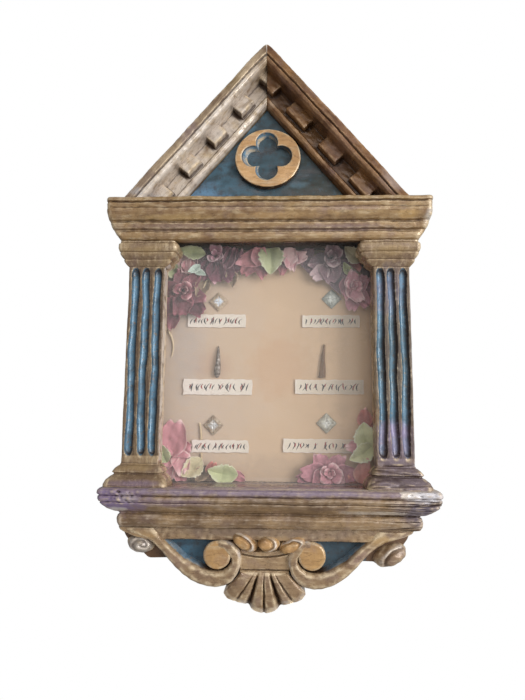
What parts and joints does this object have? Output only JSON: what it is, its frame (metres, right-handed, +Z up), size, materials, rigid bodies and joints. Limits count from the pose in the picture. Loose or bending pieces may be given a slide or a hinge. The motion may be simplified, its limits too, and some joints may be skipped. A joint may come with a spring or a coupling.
{
  "type": "wall reliquary",
  "caption": "Gabled wooden wall case with fluted pilasters, a pierced roundel in the gable, a glazed compartment of relics among flowers, and a carved scroll and shell apron.",
  "frame": {"origin": "on the back face that lies against the wall, on the middle plane and half way up the pilasters", "axes": "+Z up, -Y out of the wall towards the viewer, +Y into the wall, +X to the viewer's right"},
  "size_m": [0.2234, 0.0624, 0.3905],
  "materials": {
    "gilded_wood": "worn bronze gilding over carved wood, brown in the recesses",
    "teal_paint": "matt teal-blue paint on wood",
    "case_wood": "plain aged softwood",
    "glass": "thin clear old pane",
    "lining_paper": "faded beige paper on a board",
    "label_paper": "cream paper with ink strokes",
    "packet_foil": "dull silver foil and paper",
    "relic_wood": "raw brown splinter",
    "leaf_fabric": "faded green cloth leaves",
    "rose_fabric": "burgundy cloth roses",
    "petal_fabric": "faded pink cloth petals"
  },
  "bodies": {
    "root": {"back_board": "case_wood", "left_side": "case_wood", "right_side": "case_wood", "left_pilaster": "gilded_wood", "right_pilaster": "gilded_wood", "entablature": "gilded_wood", "left_rake": "gilded_wood", "right_rake": "gilded_wood", "tympanum": "teal_paint", "quatrefoil_roundel": "gilded_wood", "sill": "gilded_wood", "apron": "gilded_wood", "glass_pane": "glass", "relic_board": "lining_paper", "label_1": "label_paper", "label_2": "label_paper", "label_3": "label_paper", "label_4": "label_paper", "label_5": "label_paper", "label_6": "label_paper", "packet_1": "packet_foil", "packet_2": "packet_foil", "packet_3": "packet_foil", "packet_4": "packet_foil", "thorn": "packet_foil", "splinter": "relic_wood", "leaf_top_left": "leaf_fabric", "leaf_left": "leaf_fabric", "leaf_top": "leaf_fabric", "leaf_top_right": "leaf_fabric", "leaf_low_left": "leaf_fabric", "leaf_cream": "leaf_fabric", "leaf_foot": "leaf_fabric", "leaf_right": "leaf_fabric", "rose_top_left": "rose_fabric", "rose_left": "rose_fabric", "rose_top_right": "rose_fabric", "rose_right": "rose_fabric", "rose_foot_right": "rose_fabric", "pink_top_left": "petal_fabric", "pink_top": "petal_fabric", "pink_top_middle": "petal_fabric", "petals_low_left": "petal_fabric", "petals_foot_left": "petal_fabric", "petals_foot_right": "petal_fabric", "petals_low_right": "petal_fabric", "petals_right": "petal_fabric"}
  },
  "joints": []
}
